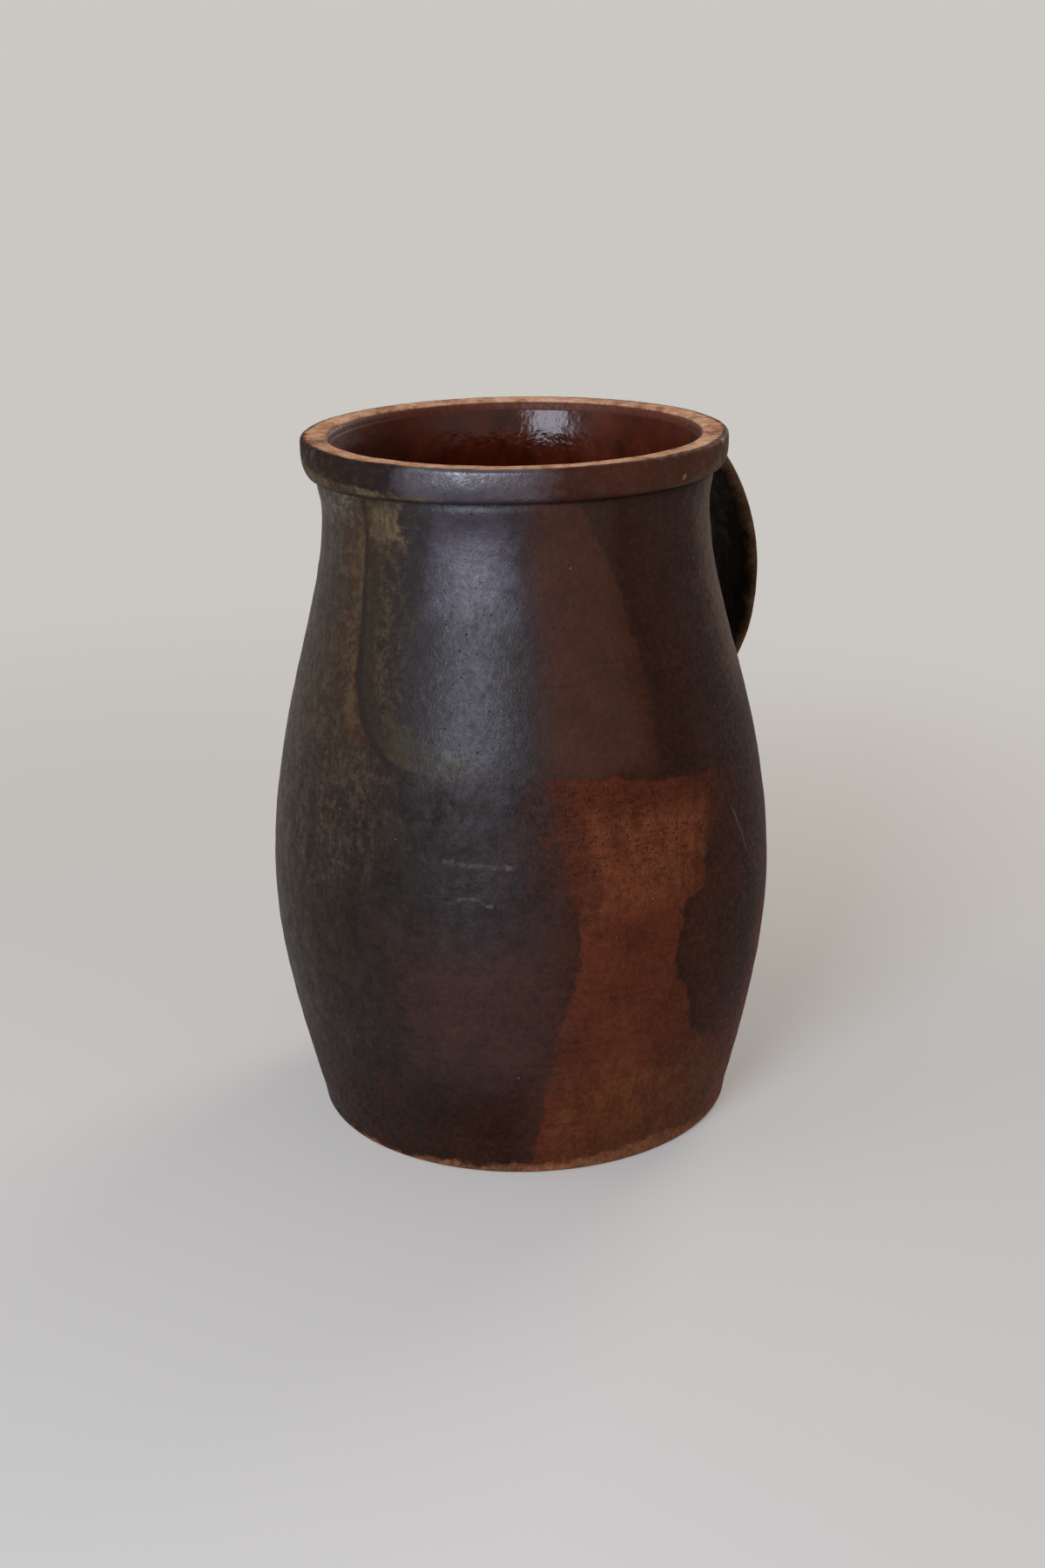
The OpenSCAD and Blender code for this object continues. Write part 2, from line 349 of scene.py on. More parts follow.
# %% [markdown]
# ### The strap handle
# A pulled strap is a tapering ribbon of clay with an oval section. A curve with a section that runs along
# it is the natural way to make one: the knots give the bow, and each knot's radius gives the taper. Its
# two ends run on into the collar and the shoulder, where the clay was pressed home.

# %% Draw the oval section
bpy.ops.curve.primitive_bezier_circle_add(radius=1, location=(0, 0, 0))
section = bpy.context.object
section.name = "strap_section"
section.data.splines[0].resolution_u = 14
half_wide, half_thick, fullness = 19.5 * MM, 4.8 * MM, 0.709
for knot in section.data.splines[0].bezier_points:
    knot.handle_left_type = knot.handle_right_type = "FREE"
    flat = abs(knot.co.x) < 0.5
    side = Vector((half_wide * fullness, 0, 0)) if flat else Vector((0, half_thick * fullness, 0))
    turn_way = 1 if (knot.handle_right - knot.co).dot(side) > 0 else -1
    knot.co = Vector((knot.co.x * half_wide, knot.co.y * half_thick, 0))
    knot.handle_left, knot.handle_right = knot.co - turn_way * side, knot.co + turn_way * side
print("section", [round(v * 1000, 1) for v in section.dimensions], "mm")

# %% Pull the strap along its bow
bpy.ops.curve.primitive_bezier_curve_add(location=(0, 0, 0))
strap = bpy.context.object
strap.name = "pulled_strap"
spline = strap.data.splines[0]
spline.bezier_points.add(3)
spline.resolution_u = 34
# Each knot of the bow: its place, the handles before and after it, and how wide the strap is there.
bow_knots = [
    ((96.0, 335.3), (94.5, 336.4), (97.0, 334.6), 1.0),
    ((100.1, 332.4), (99.0, 333.2), (124.32, 315.44), 0.99),
    ((143.8, 251.6), (143.8, 284.89), (143.8, 217.29), 0.93),
    ((112.7, 190.0), (130.5, 205.48), (111.7, 189.1), 0.88),
    ((109.5, 187.2), (110.5, 188.1), (108.5, 186.3), 0.875),
]
for knot, (place, before, after, scale) in zip(spline.bezier_points, bow_knots):
    set_knot(knot, place, before, after)
    knot.radius = scale
strap.data.bevel_mode, strap.data.bevel_object = "OBJECT", section
strap.data.use_fill_caps = True
work_on(strap, "OBJECT")
bpy.ops.object.convert(target="MESH")
bpy.data.objects.remove(section)
print("strap", len(strap.data.polygons), "faces,", [round(v, 4) for v in strap.dimensions], "m")

# %% [markdown]
# ### Luting clay
# Each end of the strap is held by soft clay, smeared on with a thumb and worn thin towards its edges. A
# pat of clay starts as a disc inside the strap. It is drawn out ring by ring towards the pot, wider each
# time, until its last rings are pressed into the wall, and a Subdivision Surface makes it soft. Extruding
# leaves the new faces in a chance order. So the mesh is sorted by the distance from the 3D cursor, which
# stands to one side, where no two points are equally far. Nothing moves, but every run gives the same mesh.

# %% Press on the luting clay
def sort_by_distance(piece, far_off=(0.31, 1.7, 2.9)):
    """Gives a mesh's points, edges and faces the same order in every run."""
    scene.cursor.location = far_off
    work_on(piece)
    bpy.ops.mesh.select_all(action="SELECT")
    bpy.ops.mesh.sort_elements(type="CURSOR_DISTANCE", elements={"VERT", "EDGE", "FACE"})
    work_on(piece, "OBJECT")
    scene.cursor.location = (0, 0, 0)


def lute(name, place, lean, rings):
    """Draws a sleeve of clay towards the pot.

    A ring is its distance from the wall, its half width, its top and its bottom, in millimetres.
    """
    way = Vector((math.cos(lean), 0, math.sin(lean)))
    lift = Vector((-math.sin(lean), 0, math.cos(lean)))
    frame_of_clay = Matrix((Vector((0, 1, 0)), lift, way)).transposed()
    old = None
    for out, wide, top, bottom in rings:
        middle = place + way * out * MM + lift * (top + bottom) / 2 * MM
        size = (wide, (top - bottom) / 2)
        if old is None:
            bpy.ops.object.select_all(action="DESELECT")
            bpy.ops.mesh.primitive_circle_add(vertices=36, radius=MM, fill_type="NGON", calc_uvs=False,
                                              location=middle, rotation=frame_of_clay.to_euler())
            piece = bpy.context.object
            piece.name = name
            bpy.ops.object.mode_set(mode="EDIT")
            grow = size
        else:
            bpy.ops.mesh.extrude_region_move(TRANSFORM_OT_translate={"value": middle - old_middle})
            grow = (size[0] / old[0], size[1] / old[1])
        bpy.ops.transform.resize(value=(grow[0], grow[1], 1), orient_type="LOCAL", center_override=middle)
        old, old_middle = size, middle
    bpy.ops.object.mode_set(mode="OBJECT")
    bpy.ops.object.transform_apply(location=True, rotation=True, scale=True)
    merge_points(piece)
    sort_by_distance(piece)
    apply_modifier(piece, "SUBSURF", levels=2, render_levels=2)
    sort_by_distance(piece)
    bpy.ops.object.shade_smooth()
    print(name, len(piece.data.polygons), "faces,", [round(v * 1000, 1) for v in piece.dimensions], "mm")
    return piece


top_clay = lute("top_luting_clay", Vector((101.7, 0, 331.3)) * MM, 0.0, [
    (12, 18.6, -4.6, -14.6), (8, 19.6, -2.2, -12.5), (4, 21.0, -0.8, -12.4), (1, 23.0, 0.4, -15),
    (-2, 24.8, 1.0, -18.5), (-5, 26.4, 1.0, -21.5), (-7.5, 27.4, 1.0, -24), (-11, 27.6, 1.0, -24.5)])
tail_clay = lute("tail_luting_clay", Vector((116.33, 0, 193.15)) * MM, math.radians(11.3), [
    (10, 16.4, 9.9, 1.3), (6.5, 17.5, 9.2, -1.7), (3.5, 19.0, 9.9, -4.7), (1.5, 21.2, 11.6, -7.6),
    (0.3, 24.0, 13.8, -10.2), (-1.5, 26.0, 15.0, -12.0), (-4, 26.4, 15.2, -12.2)])

# %% [markdown]
# ## Marks of the hand
# No thrown pot is true. The fingers leave rings, the wall is a little uneven, and the collar was pressed
# on a touch higher at the front. A Displace modifier pushes each point in along its normal by a soft
# noise. Its middle level is 1, so that it only ever pushes in and the pot keeps within its size. The
# noise is read through an empty: one that is wide and flat makes it into rings.

# %% Press in the rings and dents
def dent(piece, group, size, deep, flat=1.0, middle=1.0):
    """Pushes a group of points in by noise; size and depth in millimetres, flat below 1 makes rings."""
    cloud = bpy.data.textures.new("clay_cloud", "CLOUDS")
    cloud.noise_scale, cloud.noise_depth = size * MM, 2
    bpy.ops.object.empty_add(location=(0.013, 0.021, 0.017))
    guide = bpy.context.object
    guide.scale = (1 / flat, 1 / flat, 1)
    bpy.context.view_layer.update()
    apply_modifier(piece, "DISPLACE", texture=cloud, texture_coords="OBJECT", texture_coords_object=guide,
                   strength=deep * MM, mid_level=middle, vertex_group=group)
    bpy.data.objects.remove(guide)
    bpy.data.textures.remove(cloud)


def group_points(piece, name, weigh):
    """Makes a group of points, each weighed by its distance from the axis, its height and its facing."""
    group = piece.vertex_groups.new(name=name)
    for point in piece.data.vertices:
        out = math.hypot(point.co.x, point.co.y)
        outwards = (point.co.x * point.normal.x + point.co.y * point.normal.y) / max(out, MM)
        weight = weigh(out / MM, point.co.z / MM, Vector((outwards, 0, point.normal.z)))
        if weight > 0:
            group.add([point.index], min(weight, 1), "REPLACE")
    return name


# %% [markdown]
# Each piece gets its own marks. The wall is broadly uneven, with throwing rings nine millimetres apart and a
# light grain. The underside is hollowed by the wire that cut it from the wheel. The collar's roll and the
# strap are lumpier, because they were shaped by hand alone.

# %% Mark each piece
wall = group_points(body, "wall", lambda out, z, faces: 0 if out < 92.5 or z > 320 else (z - 0.5) / 8)
dent(body, wall, 70, 0.9)
dent(body, wall, 9, 0.45, flat=0.05)
dent(body, wall, 5, 0.1)
under = group_points(body, "under", lambda out, z, faces: 1 - out / 101 if z < 1 else 0)
dent(body, under, 9, 1.6)
roll = group_points(collar, "roll", lambda out, z, faces: 1 if out > 96.5 or z > 338 else 0)
dent(collar, roll, 24, 0.5)
dent(collar, roll, 4, 0.16)
coat_side = group_points(lining, "coat", lambda out, z, faces: (
    (334 - z) / 6 if faces.x < -0.3 or (faces.z > 0.5 and z < 20) else 0))
dent(lining, coat_side, 30, 0.5, middle=0.0)
dent(lining, coat_side, 12, 0.3, flat=0.1, middle=0.0)
ribbon = group_points(strap, "ribbon", lambda out, z, faces: min((z - 195) / 8, (328 - z) / 8))
dent(strap, ribbon, 30, 0.7)
dent(strap, ribbon, 5, 0.25)
print("body now", [round(v * 1000, 1) for v in body.dimensions], "mm")

# %% [markdown]
# The crease under the collar climbs three millimetres towards the viewer. The crease is turned by two
# small angles, and proportional editing lets the clay beside it follow.

# %% Lean the crease
CREASE_TURNS = {"X": 0.0326, "Y": -0.01025}


def lean_crease(piece):
    """Turns the ring of points in the crease; the clay within 20 mm of it follows."""
    work_on(piece)
    bpy.ops.mesh.select_all(action="DESELECT")
    bpy.ops.object.mode_set(mode="OBJECT")
    count = 0
    for point in piece.data.vertices:
        beside = math.hypot(point.co.x, point.co.y) - crease[0] * MM
        above = point.co.z - crease[1] * MM
        point.select = abs(above) < 0.2 * MM and abs(beside) < 0.8 * MM
        count += point.select
    bpy.ops.object.mode_set(mode="EDIT")
    for axis, angle in CREASE_TURNS.items():
        bpy.ops.transform.rotate(
            value=angle, orient_axis=axis, orient_type="GLOBAL", center_override=(0, 0, crease[1] * MM),
            use_proportional_edit=True, use_proportional_connected=True, proportional_edit_falloff="SMOOTH",
            proportional_size=20 * MM)
    bpy.ops.object.mode_set(mode="OBJECT")
    ring = [p.co for p in piece.data.vertices if p.select]
    front = max(ring, key=lambda co: co.x * to_camera.x + co.y * to_camera.y)
    print(piece.name, count, "crease points, front one at", [round(v * 1000, 1) for v in front], "mm")


lean_crease(body)
lean_crease(collar)

# %% [markdown]
# ## The fired surface
# Salt thrown into the hot kiln glazes the bare clay where the flames carry it, so that the colour changes
# round the pot: gunmetal and olive where salt and ash settled, rust red where another pot shaded the wall.
# Such a surface is told by place. Every material first finds where on the pot it is: how far round from
# the middle of the picture, how high, and how far from the axis. As the place is in millimetres, a noise
# with a scale of 0.2 has lumps that are five millimetres wide.

# %% Start a material and find the place on the pot
def start_material(name, ior=1.5):
    """Starts a material; the tree in hand becomes its tree, and its shader is returned."""
    global tree
    material = bpy.data.materials.new(name)
    material.use_nodes = True
    tree = material.node_tree
    tree.nodes.clear()
    shader = add("BsdfPrincipled", {"IOR": ior})
    add("OutputMaterial", {"Surface": shader})
    return material, shader


TALL, GIRTH = 340.0, 760.0  # the jug's height, and about the way round it, in millimetres


def find_place():
    """The place in millimetres, x to the viewer; turn and height, 0 to 1; and the distance from the axis."""
    place = add("Mapping", {"Vector": add("TexCoord").outputs["Object"], "Scale": (1000, 1000, 1000),
                            "Rotation": (0, 0, math.pi / 2 - AZIMUTH)})
    parts = add("SeparateXYZ", {0: place})
    angle = add("Math", {0: parts.outputs["Y"], 1: parts.outputs["X"]}, operation="ARCTAN2")
    turn = add("MapRange", {0: angle, 1: -math.pi, 2: math.pi})
    high = add("Math", {0: parts.outputs["Z"], 1: TALL}, operation="DIVIDE")
    out = add("VectorMath", {0: place, 1: (1, 1, 0)}, operation="MULTIPLY")
    out = add("VectorMath", {0: out}, operation="LENGTH")
    return place, turn, high, out


# %% [markdown]
# ### Flashes
# A flash is a region with its own colour and gloss. Its left and right edges are drawn as curves over the
# height, and its top and bottom edges as curves over the angle. The distance to the nearest edge, made
# uneven by noise, tells how deep inside the flash a point lies. Ash and soot come down in flecks, so a
# flash can also be broken up by a fine noise.

# %% Paint the flashes
def paint_flashes(colour, gloss, place, turn, high, flashes):
    """Lays flashes over a colour and a roughness, one after another, and returns their masks too."""
    # Ragged edges, fine flecks, and streaks nine millimetres wide and three times as tall.
    rags = add("TexNoise", {"Vector": place, "Scale": 0.12, "Detail": 7.0, "Roughness": 0.7})
    rags = add("MapRange", {0: rags, 1: 0.35, 2: 0.65, 3: -1.0}, clamp=False)
    fine = add("TexNoise", {"Vector": place, "Scale": 0.25, "Detail": 6.0, "Roughness": 0.82})
    fine = add("MapRange", {0: fine, 1: 0.46, 2: 0.56})
    streaks = add("VectorMath", {0: place, 1: (1, 1, 0.35)}, operation="MULTIPLY")
    streaks = add("TexNoise", {"Vector": streaks, "Scale": 0.11, "Detail": 8.0, "Roughness": 0.86})
    streaks = add("MapRange", {0: streaks, 1: 0.45, 2: 0.56})
    masks = {}
    for name, tint, amount, rough, soft, ragged, fleck, edges in flashes:
        inside = None
        for side, points in edges.items():
            upright = side in ("left", "right")
            if upright:
                points = [(z / TALL, (angle + 180) / 360) for z, angle in sorted(points)]
            else:
                points = [((angle + 180) / 360, z / TALL) for angle, z in sorted(points)]
            along, across = (high, turn) if upright else (turn, high)
            edge = add("FloatCurve", {"Value": along}, points=points)
            pair = (across, edge) if side in ("left", "bottom") else (edge, across)
            gap = add("Math", {0: pair[0], 1: pair[1]}, operation="SUBTRACT")
            rag = ragged if upright else ragged / 2
            uneven = add("Math", {0: rags, 1: rag}, operation="MULTIPLY")
            gap = add("Math", {0: gap, 1: GIRTH if upright else TALL, 2: uneven}, operation="MULTIPLY_ADD")
            inside = gap if inside is None else add("Math", {0: inside, 1: gap}, operation="MINIMUM")
        mask = add("MapRange", {0: inside, 1: -soft, 2: soft, 4: amount}, interpolation_type="SMOOTHSTEP")
        if fleck:
            broken = add("MapRange", {0: fine if fleck > 0 else streaks, 3: 1 - abs(fleck), 4: 1.0})
            mask = add("Math", {0: mask, 1: broken}, operation="MULTIPLY")
        masks[name] = mask
        if tint:
            colour = add("Mix", {0: mask, 1: colour, 2: tint}, data_type="RGBA")
        if rough:
            gloss = add("Mix", {0: mask, 1: gloss, 2: rough}, data_type="FLOAT")
    return colour, gloss, masks


# %% [markdown]
# ### Grain
# Salt glaze lies on the clay like the skin of an orange, in dimples a millimetre or two across. Iron in
# the clay breaks through it in dark pinholes, and grains of quartz and ash stand on it as pale specks and
# small glassy beads. One cell of a Voronoi pattern holds one speck, and they have their real size.

# %% Break up the colour and raise the grain
def dots(place, cell, share, size):
    """A mask of round spots: one cell in so many holds a spot, and size is its radius in cells."""
    spots = add("TexVoronoi", {"Vector": place, "Scale": 1 / cell, "Randomness": 1.0})
    chosen = add("SeparateXYZ", {0: spots.outputs["Color"]})
    chosen = add("Math", {0: chosen, 1: share}, operation="LESS_THAN")
    spots = add("MapRange", {0: spots.outputs["Distance"], 1: size, 2: size * 0.4})
    return add("Math", {0: spots, 1: chosen}, operation="MULTIPLY")


def grain(colour, gloss, place, iron=0.06, skin=0.5, cloudy=1.0):
    """Mottles a colour and dots it with specks.

    Iron above 0.1 makes dark dust, skin is how strongly the peel stands out, and cloudy is how much the
    colour varies.
    """
    # Clouds 20 mm wide, a mottle 3 mm wide and level rings 3 mm high change how light the colour is.
    cloud = add("TexNoise", {"Vector": place, "Scale": 0.05, "Detail": 5.0, "Roughness": 0.65})
    mottle = add("TexNoise", {"Vector": place, "Scale": 0.3, "Detail": 6.0, "Roughness": 0.7})
    rings = add("VectorMath", {0: place, 1: (0.02, 0.02, 0.35)}, operation="MULTIPLY")
    rings = add("TexNoise", {"Vector": rings, "Scale": 1.0, "Detail": 3.0, "Roughness": 0.6})
    both = add("Math", {0: cloud, 1: mottle}, operation="ADD")
    both = add("Math", {0: rings, 1: 0.3, 2: both}, operation="MULTIPLY_ADD")
    light = add("MapRange", {0: both, 1: 0.84, 2: 1.46, 3: 0.5, 4: 1.5})
    light = add("Mix", {0: cloudy, 1: 1.0, 2: light}, data_type="FLOAT")
    colour = add("HueSaturation", {"Color": colour, "Value": light})
    # The peel has a dimple to the millimetre and lies on lumps 6 mm wide.
    peel = add("TexNoise", {"Vector": place, "Scale": 0.95, "Detail": 4.0, "Roughness": 0.6})
    lumps = add("TexNoise", {"Vector": place, "Scale": 0.16, "Detail": 3.0, "Roughness": 0.55})
    lumps = add("Math", {0: lumps, 1: 0.8}, operation="MULTIPLY")
    relief = add("Math", {0: peel, 1: skin, 2: lumps}, operation="MULTIPLY_ADD")
    # Iron dust has a grain to the millimetre, which is coarser than the real one, so that it shows.
    dust = add("TexNoise", {"Vector": place, "Scale": 0.92, "Detail": 2.0})
    dust = add("Math", {0: dust, 1: iron}, operation="ADD")
    dust = add("MapRange", {0: dust, 1: 0.70, 2: 0.78, 4: 0.7})
    colour = add("Mix", {0: dust, 1: colour, 2: "#180d08"}, data_type="RGBA")
    # Spots: the cell in millimetres, the share of cells that hold one, its radius in cells, its colour,
    # how strongly it covers, and how far it stands out of the skin.
    for cell, share, size, tint, amount, lift in (
            (1.9, 0.022, 0.24, "#120a07", 0.75, -0.2),  # dark pinholes, sunk in
            (2.9, 0.008, 0.24, "#7d6d50", 0.6, 0.3),  # pale grains of quartz and ash
            (3.4, 0.3, 0.17, None, 0, 0.8),  # beads of glaze, as brown as the rest
            (1.5, 0.12, 0.26, None, 0, 0.45)):  # and smaller ones between them
        spots = dots(place, cell, share, size)
        relief = add("Math", {0: spots, 1: lift, 2: relief}, operation="MULTIPLY_ADD")
        if tint:
            spots = add("Math", {0: spots, 1: amount}, operation="MULTIPLY")
            colour = add("Mix", {0: spots, 1: colour, 2: tint}, data_type="RGBA")
    # In spots 2 to 3 mm wide the glass is a little wetter or drier.
    wet = add("TexNoise", {"Vector": place, "Scale": 0.4, "Detail": 6.0, "Roughness": 0.75})
    wet = add("MapRange", {0: wet, 1: 0.35, 2: 0.65, 3: 0.055, 4: -0.055})
    gloss = add("Math", {0: gloss, 1: wet}, operation="ADD")
    bump = add("Bump", {"Height": relief, "Strength": 1.0, "Distance": 0.0004})
    return colour, gloss, bump


# %% [markdown]
# ### The body's own colours
# The ground comes first: brown stoneware, redder to the right, where the fire was cleaner, and olive to the
# left and behind. It is a ramp over the angle round the pot.
#
# The flashes come after it. Each has a name, a colour, how strongly it covers, its roughness, how soft and
# how ragged its edge is in millimetres, how far it breaks up into flecks, and its edges. Flecks below 0 run
# down the wall. Edges to the left and right are pairs of height and angle, and those at the top and bottom
# are pairs of angle and height, with the angle from the middle of the picture, positive to the right.

# %% Ground of the body
BODY_GROUND = [(-180, "#2b1c12"), (-130, "#322316"), (-80, "#291b10"), (-50, "#22170e"), (-28, "#1f1612"),
               (-5, "#221819"), (6, "#2d1810"), (30, "#2f170d"), (60, "#2d160c"), (100, "#2c180e"),
               (150, "#2c1b10"), (180, "#2b1c12")]
print("ground of the body:", len(BODY_GROUND), "colours round the pot")

# %% [markdown]
# Above the height of a neighbouring pot's rim the fire passed freely. The neck is red in front, brown to the
# right of a slanting edge, and gunmetal to the left, where thick glaze catches the window.

# %% Flashes of the neck
NECK_FLASHES = [
    ("upper_red", "#402318", 0.8, 0.45, 12.0, 5.0, 0.2, {
        "left": [(200, 5), (260, 4), (325, -1)], "right": [(200, 60), (325, 50)],
        "bottom": [(-180, 199), (180, 199)]}),
    ("edge_shade", "#27150f", 0.8, 0.45, 1.8, 1.6, 0.1, {
        "left": [(200, 34), (240, 34), (255, 32.5), (270, 30), (285, 28), (300, 24.5), (310, 21), (325, 17)],
        "right": [(200, 100), (325, 100)], "bottom": [(-180, 197), (180, 197)]}),
    ("upper_brown", "#341f18", 0.85, 0.45, 13.0, 4.0, 0.1, {
        "left": [(200, 45), (240, 46), (270, 43), (300, 38), (325, 32)],
        "right": [(200, 100), (325, 100)], "bottom": [(-180, 195), (180, 195)]}),
    ("upper_streak", "#3c1f16", 0.35, 0.45, 4.0, 3.0, 0.4, {
        "left": [(230, 40), (325, 30)], "right": [(230, 46), (325, 36)], "bottom": [(-180, 232), (180, 232)],
        "top": [(-180, 304), (180, 304)]}),
    ("upper_glaze", "#1c1619", 0.75, 0.33, 11.0, 5.0, 0.2, {
        "left": [(200, -27), (240, -33), (325, -36)], "right": [(200, 6), (325, 4)],
        "bottom": [(-180, 203.5), (180, 203.5)]}),
    ("lower_dark", "#2c150a", 0.9, 0.58, 24.0, 8.0, 0.0, {
        "top": [(-110, 30), (-75, 62), (-50, 48), (-20, 46), (0, 60), (12, 10)]}),
]
print(len(NECK_FLASHES), "flashes on the neck")

# %% [markdown]
# A neighbouring pot stood close by, and its rim kept the salt off the wall in one sharp-edged patch of bare
# rust red. Iron and a breath of salt make its upper left corner dusty, and a dark island lies to its right.

# %% Flashes of the rust patch
PATCH_FLASHES = [
    ("rust_halo", "#3a1d12", 0.7, 0.5, 7.0, 5.0, 0.3, {
        "top": [(-10, 201), (60, 192)], "left": [(0, -3), (60, 2), (100, 5), (130, 8), (170, 4), (205, 3)],
        "right": [(0, 30), (205, 30)]}),
    ("rust_patch", "#542716", 0.97, 0.58, 0.8, 2.4, 0.2, {
        "top": [(6, 202.5), (15, 201.8), (25, 199.2), (35, 195.7), (45, 193.6), (51, 193.2), (54, 193)],
        "left": [(0, 0), (8, 1), (20, 2.5), (30, 4), (45, 4.5), (60, 6), (80, 7.5), (90, 9), (100, 10),
                 (115, 12.5), (130, 12.5), (150, 11), (170, 9), (190, 7), (205, 6)],
        "right": [(0, 95), (20, 92), (40, 80), (50, 62), (56, 50), (62, 46), (70, 42), (80, 41), (92, 39),
                  (100, 36), (110, 35.5), (130, 37), (138, 38), (141, 44), (150, 43.5), (158, 44), (163, 46),
                  (170, 50), (178, 53), (185, 53.5), (193, 51), (205, 51)]}),
    ("rust_glow", "#754127", 0.7, 0.57, 9.0, 6.0, -0.7, {
        "left": [(130, 16), (205, 14)], "right": [(130, 34), (160, 44), (205, 52)],
        "top": [(0, 186), (60, 184)], "bottom": [(0, 136), (60, 142)]}),
    ("patch_veil", "#2b1812", 0.75, 0.55, 8.0, 7.0, 0.8, {
        "left": [(135, 0), (205, 0)], "right": [(135, 17), (150, 16), (170, 14), (190, 12), (205, 11)],
        "top": [(0, 203), (60, 200)], "bottom": [(0, 138), (60, 130)]}),
    ("rust_spill", "#482516", 0.6, 0.55, 4.0, 5.0, 0.85, {
        "left": [(130, 10), (150, 9), (205, 4.5)], "right": [(130, 17), (150, 16), (205, 11)],
        "top": [(0, 201), (60, 200)], "bottom": [(0, 142), (60, 142)]}),
    ("island_foot", "#4c2316", 0.85, 0.58, 9.0, 6.0, 0.3, {
        "left": [(0, 40), (90, 40)], "right": [(30, 84), (90, 70)],
        "top": [(30, 52), (50, 62), (66, 60), (90, 52)]}),
    ("rust_low", "#5f3b1c", 0.55, 0.6, 8.0, 8.0, -0.95, {
        "left": [(0, 6), (60, 10)], "right": [(0, 80), (60, 44)], "top": [(0, 62), (90, 48)]}),
    ("red_edge", "#5e2a16", 0.75, 0.6, 12.0, 5.0, 0.3, {
        "left": [(30, 60), (60, 64), (80, 67), (100, 69), (120, 72), (140, 76), (175, 84)],
        "right": [(0, 118), (340, 112)], "top": [(60, 168), (120, 150)]}),
    ("red_fade", "#2e1a10", 0.9, 0.58, 26.0, 12.0, 0.3, {"left": [(0, 92), (340, 98)]}),
    ("island_edge", "#3c1f14", 0.7, 0.5, 3.5, 3.0, 0.4, {
        "left": [(56, 60), (70, 44), (92, 40.5), (110, 37), (130, 38.5), (140, 45), (190, 47)],
        "right": [(60, 64), (100, 58), (190, 60)],
        "top": [(0, 190), (90, 190)], "bottom": [(0, 60), (90, 60)]}),
    ("right_haze", "#3a1f16", 0.7, 0.5, 1.6, 1.5, 0.2, {
        "left": [(100, 80), (140, 64), (146, 62), (168, 57), (193, 51)], "top": [(40, 192.5), (90, 190)],
        "right": [(100, 100), (193, 100)]}),
]
print(len(PATCH_FLASHES), "flashes in and round the rust patch")

# %% [markdown]
# Ash from the wood or coal settled on the left side, thickly on the shoulder and in flecks further down,
# with soot between it.

# %% Flashes of ash and soot
ASH_FLASHES = [
    ("olive_lobe", "#3a331b", 0.6, 0.4, 5.0, 6.0, -0.8, {
        "left": [(200, -28), (204, -30), (210, -34), (222, -40), (240, -44), (280, -46), (325, -46)],
        "right": [(200, -8), (210, -12), (218, -23), (228, -33), (240, -37), (325, -38)],
        "bottom": [(-180, 203), (180, 203)]}),
    ("ash_field", "#534534", 0.52, 0.55, 8.0, 9.0, -0.97, {
        "left": [(180, -92), (325, -96)],
        "right": [(180, -40), (200, -33), (210, -38), (222, -43), (240, -47), (325, -49)],
        "bottom": [(-100, 195), (-50, 190), (-30, 200)]}),
    ("ash_flecks", "#5c4e3c", 0.4, 0.55, 14.0, 12.0, 0.95, {
        "left": [(60, -95), (325, -96)], "right": [(60, -52), (160, -34), (200, -30), (325, -34)],
        "bottom": [(-100, 112), (-30, 155)]}),
    ("soot", "#150c07", 0.75, 0.5, 12.0, 10.0, -0.9, {
        "left": [(60, -95), (325, -96)], "right": [(60, -20), (190, -14), (205, -30), (325, -40)],
        "bottom": [(-180, 0), (180, 0)]}),
]
print(len(ASH_FLASHES), "flashes of ash and soot")

# %% [markdown]
# Some flashes change little but the gloss. A flash without a colour changes the roughness alone. Two also paint
# a lighter colour: a painted highlight on the neck in front, and a painted reflection at the far right of the
# neck.

# %% Flashes of gloss
GLOSS_FLASHES = [
    # Painted highlight: a lighter bluish grey where the window's highlight falls on the neck; its lower
    # roughness is real gloss.
    ("neck_painted_highlight", "#4b4651", 0.75, 0.31, 12.0, 6.0, 0.3, {
        "left": [(240, -22), (325, -22)], "right": [(240, -2), (325, -2)], "bottom": [(-180, 276), (180, 276)],
        "top": [(-180, 314), (180, 314)]}),
    ("matte_right", None, 0.95, 0.58, 9.0, 5.0, 0.0, {
        "left": [(0, 4), (120, 9), (198, 12), (206, 30), (340, 26)]}),
    ("matte_back", None, 0.95, 0.58, 40.0, 12.0, 0.0, {"right": [(0, -125), (340, -135)]}),
    ("back_sheen", None, 0.8, 0.38, 45.0, 20.0, 0.2, {"left": [(0, 118), (340, 112)]}),
    ("back_sheen_left", None, 0.8, 0.38, 45.0, 20.0, 0.2, {"right": [(0, -150), (340, -145)]}),
    # Painted reflection: a lighter brown near the right edge of the neck, with its own roughness.
    ("far_painted_reflection", "#5e4133", 0.65, 0.54, 16.0, 10.0, 0.4, {
        "left": [(200, 72), (325, 62)], "right": [(200, 112), (325, 108)],
        "bottom": [(-180, 226), (180, 226)]}),
]
print(len(GLOSS_FLASHES), "flashes of gloss")

# %% [markdown]
# On the neck's left side, melted ash ran down in a bundle of streaks. One of them is nearly black and turns
# in at its foot, and the ash beside it stayed pale and dry.

